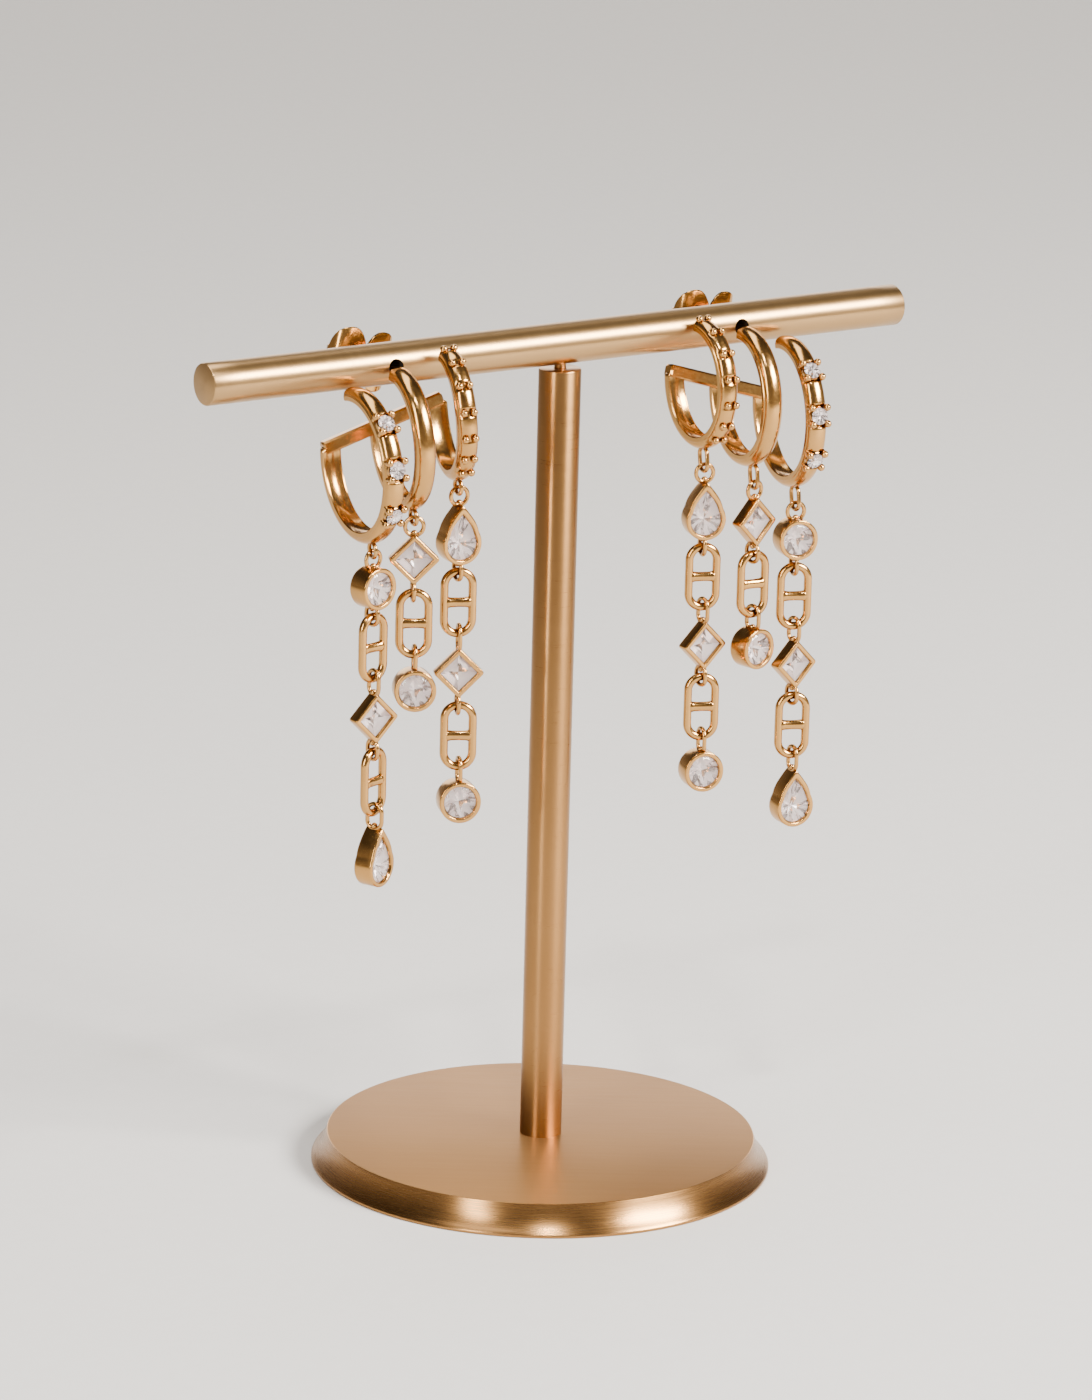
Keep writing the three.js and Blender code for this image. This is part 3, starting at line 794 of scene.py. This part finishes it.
def outline(kind, offset, steps=96, corner_steps=8):
    """The outline of a drop's face, drawn in by the offset."""
    radius = SHAPES[kind]["r"] - offset
    points = []
    if kind == "square":
        corner = max(SQUARE_CORNER_LEAST, SQUARE_CORNER - offset * 0.5)
        for quarter in range(4):
            centre = Vector((radius - corner, radius - corner))
            for i in range(corner_steps + 1):
                turn = rad(90 * i / corner_steps)
                point = centre + Vector((math.cos(turn), math.sin(turn))) * corner
                points.append(Matrix.Rotation(rad(45 + 90 * quarter), 2) @ point)
        return points
    share = radius / SHAPES[kind]["r"]
    for i in range(steps):
        turn = 2 * math.pi * i / steps
        points.append(Vector((math.cos(turn), math.sin(turn))) * radius_at(kind, turn) * share)
    return points


def radius_at(kind, turn):
    """How far a round or pear outline lies from its middle in one direction."""
    radius = SHAPES[kind]["r"]
    if kind == "round":
        return radius
    from_top = abs((turn - math.pi / 2 + math.pi) % (2 * math.pi) - math.pi)
    touch = math.acos(PEAR_R / PEAR_UP)
    if from_top > touch:
        return radius
    reach = radius * (1 + PEAR_BOW * math.sin(math.pi * from_top / touch)) / math.cos(touch - from_top)
    # The point is softened over a few degrees
    return reach - PEAR_SOFT * max(0, 1 - from_top / PEAR_SOFT_TURN) ** 2


def ring_at(kind, offset, z):
    return [(p.x, p.y, z) for p in outline(kind, offset)]


def add_cup(shape, kind):
    """The setting's cup: rounded back and edges, a flat rim and a sloping inner edge over the stone."""
    z = SHAPES[kind]["depth"] / 2
    profile = [(0.55, -z), (0.3, -z + 0.02), (0.12, -z + 0.1), (0.03, -z + 0.24), (0.0, -z + 0.42),
               (0.0, z - 0.16), (0.02, z - 0.08), (0.06, z - 0.03), (0.12, z), (RIM - 0.05, z),
               (RIM, z - 0.02), (RIM + 0.03, z - 0.06), (WALL - 0.03, z - RIM_SLOPE),
               (WALL, z - RIM_SLOPE - 0.06), (WALL + 0.02, 0.16 - z), (WALL + 0.3, 0.12 - z)]
    shape.add(*loft([ring_at(kind, offset, height) for offset, height in profile]))


def add_loop(shape, radius, low, high, turn=90):
    """A drawn-out wire loop between two heights of its wire's middle, in the plane given by the turn."""
    stretch = max(0, high - low - 2 * radius)
    place = Matrix.Translation((0, (low + high) / 2, 0)) @ Matrix.Rotation(rad(turn), 4, "Y")
    shape.add(*tube(loop_path(radius, stretch), LOOP_WIRE / 2, 14), place)


def setting(kind, first, last):
    """A drop's cup with its loops: a ring on top of a chain's first drop, none under its last."""
    shape = Shape()
    add_cup(shape, kind)
    up, down = SHAPES[kind]["up"], SHAPES[kind]["down"]
    neck = LINK_WIRE / 2 + CLEAR + LOOP_WIRE / 2
    if first:
        middle = RING_D / 2 - LOOP_WIRE / 2
        low = up + RING_D / 2 - LOOP_WIRE - middle
        add_loop(shape, middle, low, low + 2 * middle, turn=0)
    else:
        add_loop(shape, neck, up - LOOP_ROOT, up + NECK_ABOVE + neck)
    shape.add(*ball(SOLDER_TOP_R, Matrix.Translation((0, up + SOLDER_OUT, 0)), SOLDER_TALL))
    if not last:
        add_loop(shape, neck, -down - NECK_BELOW - neck, LOOP_ROOT - down)
        shape.add(*ball(SOLDER_LOW_R, Matrix.Translation((0, -down - SOLDER_OUT, 0)), SOLDER_TALL))
    return shape


def link(arc_steps=24, side_steps=6):
    """A long round-ended link of wire with a waisted rod across its middle."""
    shape = Shape()
    middle = (LINK_W - LINK_WIRE) / 2
    straight = (LINK_H - LINK_W) / 2
    path = []
    for top in (1, -1):
        for i in range(arc_steps + 1):
            turn = math.pi * i / arc_steps + (0 if top == 1 else math.pi)
            path.append((middle * math.cos(turn), middle * math.sin(turn) + top * straight, 0))
        for i in range(1, side_steps):
            path.append((-top * middle, top * straight * (1 - 2 * i / side_steps), 0))
    shape.add(*tube(path, LINK_ROUND, 18))
    half_rod = [(r, reach - middle) for r, reach in LINK_ROD]
    rod = half_rod + [(LINK_ROD_WAIST, 0)] + [(r, -z) for r, z in reversed(half_rod)]
    flat = Matrix.Diagonal((1, 1, LINK_ROD_FLAT, 1))
    shape.add(*lathe(rod, 20), flat @ Matrix.Rotation(rad(90), 4, "Y"))
    return shape


def hull(points):
    """The faceted body that just holds the points."""
    bm = bmesh.new()
    for p in points:
        bm.verts.new(p)
    made = bmesh.ops.convex_hull(bm, input=bm.verts)
    bmesh.ops.delete(bm, geom=list(set(made["geom_interior"] + made["geom_unused"])), context="VERTS")
    bm.verts.index_update()
    points = [v.co.copy() for v in bm.verts]
    faces = [[v.index for v in face.verts] for face in bm.faces]
    bm.free()
    return points, faces


def backed(points, faces):
    """1 or 2 for each pavilion facet, which carries a bright or a soft backing, and 0 for the others."""
    marks = []
    for face in faces:
        a, b, c = (Vector(points[i]) for i in face[:3])
        normal = (b - a).cross(c - a).normalized()
        outward = normal if normal.dot((a + b + c) / 3) > 0 else -normal
        sector = int(math.atan2(outward.y, outward.x) * FOIL_SECTORS / math.pi + 2 * FOIL_SECTORS)
        marks.append(1 + sector % 2 if outward.z < FOIL_TILT else 0)
    return marks


def brilliant(radius_of, crown, below, girdle=0.05, sides=10):
    """A round or pear brilliant: table, star and kite facets, girdle, and pavilion mains and halves."""
    points = [(0, 0, -below)]
    # Share of the radius, height, number of corners and turn of each ring, from the table down
    rings = ((0.5, crown, sides, 0.5), (0.72, crown * 0.7, sides, 0.0),
             (0.88, crown * 0.42, sides * 2, 0.5), (1.0, girdle, sides * 4, 0.0),
             (1.0, -girdle, sides * 4, 0.0), (0.84, -below * 0.21, sides * 2, 0.0),
             (0.62, -below * 0.46, sides * 2, 0.5), (0.34, -below * 0.73, sides, 0.0))
    for share, height, count, offset in rings:
        for i in range(count):
            turn = 2 * math.pi * (i + offset) / count + math.pi / 2
            reach = radius_of(turn) * share
            points.append((reach * math.cos(turn), reach * math.sin(turn), height))
    return hull(points)


def princess(half, crown, below, girdle=0.05):
    """A square stone with its corner up: table, kite facets round it and chevron facets below."""
    points = [(0, 0, -below)]
    corner = half * math.sqrt(2)
    for share, height in ((0.5, crown), (1.0, girdle), (1.0, -girdle), (0.5, -below * 0.64)):
        for i in range(4):
            turn = rad(90 * i)
            points.append((corner * share * math.cos(turn), corner * share * math.sin(turn), height))
    for i in range(4):
        turn = rad(45 + 90 * i)
        for share, height in ((0.74, crown * 0.7), (0.84, -below * 0.22), (0.42, -below * 0.72)):
            points.append((half * share * math.cos(turn), half * share * math.sin(turn), height))
    return hull(points)


def drop_stone(kind):
    """A drop's stone, whose girdle lies a little under the setting's rim."""
    depth = SHAPES[kind]["depth"]
    reach = SHAPES[kind]["r"] - WALL + STONE_LAP
    place = Matrix.Translation((0, 0, depth / 2 - STONE_SINK))
    crown = CROWN_SHARE * reach
    below = min(depth - STONE_SINK - STONE_FLOOR, reach * PAVILION_SHARE)
    if kind == "square":
        points, faces = princess(reach, crown, below)
    else:
        share = reach / SHAPES[kind]["r"]
        sides = 14 if kind == "pear" else 10
        points, faces = brilliant(lambda turn: radius_at(kind, turn) * share, crown, below, sides=sides)
    return Shape().add(points, faces, place, backed(points, faces))


def hoop_stones(earring):
    """The small round stones of the outer hoop."""
    place = earring_place(earring)
    for number, degrees in enumerate(STONE_ANGLES, 1):
        spot = place @ stone_place(HOOPS["outer"], earring["side"], degrees)
        points, faces = brilliant(lambda turn: HOOP_STONE_R, HOOP_STONE_CROWN, HOOP_STONE_BELOW,
                                  HOOP_STONE_GIRDLE)
        shape = Shape().add(points, faces, spot, backed(points, faces))
        node = f"{earring['name']}_hoop_stone_{number}"
        finish_piece(node + "_cut", shape, stone_finishes, node, sharp=FACET_ANGLE)


def chain(label, anchor):
    """Hangs the drops and links of one chain under its anchor, in the order of the table."""
    pieces = CHAINS[label]
    links = 0
    step = LINK_H / 2 - LINK_WIRE / 2
    z = anchor.z
    stand_up = Matrix.Rotation(rad(90), 4, "X")
    for index, (kind, yaw) in enumerate(pieces):
        first, last = index == 0, index == len(pieces) - 1
        if kind == "link":
            z -= step
        else:
            up = SHAPES[kind]["up"]
            z -= up + RING_D - 1.5 * LOOP_WIRE if first else NECK_ABOVE + up
        hang = Vector((anchor.x + (anchor.z - z) * math.tan(rad(CHAIN_LEAN)), anchor.y, z))
        place = Matrix.Translation(hang) @ Matrix.Rotation(rad(yaw), 4, "Z") @ stand_up
        if kind == "link":
            links += 1
            node = f"{label}_link_{links}"
            finish_piece(node + "_polished", link().moved(place), [gold], node)
            z -= step
            continue
        cup, cut = setting(kind, first, last).moved(place), drop_stone(kind).moved(place)
        node = f"{label}_{kind}_setting"
        finish_piece(node + "_polished", cup, [gold], node)
        node = f"{label}_{kind}_stone"
        finish_piece(node + "_cut", cut, stone_finishes, node, sharp=FACET_ANGLE)
        z -= SHAPES[kind]["down"] + NECK_BELOW


# Studio

def area_light(name, at, size, power, colour):
    """A rectangular light that faces the camera's target."""
    light = bpy.data.lights.new(name, "AREA")
    light.shape = "RECTANGLE"
    light.size, light.size_y = size
    light.energy = power
    light.color = colour
    lamp = bpy.data.objects.new(name, light)
    turn = (TARGET - Vector(at)).to_track_quat("-Z", "Y").to_matrix().to_4x4()
    lamp.matrix_world = Matrix.Translation(at) @ turn
    bpy.context.scene.collection.objects.link(lamp)


def studio():
    """The paper floor, the room's dim light and the lamps."""
    mesh = bpy.data.meshes.new("floor")
    corners = [(x * FLOOR_HALF, y * FLOOR_HALF, 0) for x, y in ((-1, -1), (1, -1), (1, 1), (-1, 1))]
    mesh.from_pydata(corners, [], [(0, 1, 2, 3)])
    mesh.materials.append(floor_paper())
    floor = bpy.data.objects.new("floor", mesh)
    bpy.context.scene.collection.objects.link(floor)
    world = bpy.data.worlds.new("studio")
    world.use_nodes = True
    nodes, links = world.node_tree.nodes, world.node_tree.links
    place = nodes.new("ShaderNodeTexCoord")
    split = nodes.new("ShaderNodeSeparateXYZ")
    links.new(place.outputs["Generated"], split.inputs[0])
    height = ranged(nodes, links, split.outputs["Z"], 0.0, 0.6, 0, 1)
    links.new(blended(nodes, links, height, (0.42, 0.36, 0.31), (0.07, 0.06, 0.055)),
              nodes["Background"].inputs["Color"])
    bpy.context.scene.world = world
    for light in LIGHTS:
        area_light(*light)


def camera():
    away = Vector((-math.sin(rad(CAMERA_AZIMUTH)) * math.cos(rad(CAMERA_ELEVATION)),
                   -math.cos(rad(CAMERA_AZIMUTH)) * math.cos(rad(CAMERA_ELEVATION)),
                   math.sin(rad(CAMERA_ELEVATION))))
    data = bpy.data.cameras.new("photo_camera")
    data.lens = CAMERA_LENS
    data.sensor_width = 36.0
    eye = bpy.data.objects.new("photo_camera", data)
    look = (-away).to_track_quat("-Z", "Y").to_matrix().to_4x4()
    eye.matrix_world = (Matrix.Translation(TARGET + away * CAMERA_DISTANCE) @ look
                        @ Matrix.Rotation(rad(CAMERA_ROLL), 4, "Z"))
    bpy.context.scene.collection.objects.link(eye)
    bpy.context.scene.camera = eye


stand_base()
stand_post()
stand_bar()
for earring in EARRINGS:
    hoops(earring)
    hoop_stones(earring)
    butterfly_nut(earring)
    for key, hoop in HOOPS.items():
        rest = earring_place(earring) @ loop_centre(hoop, earring["side"], earring["stretch"])
        chain(f"{earring['name']}_{key}", rest)
studio()
camera()
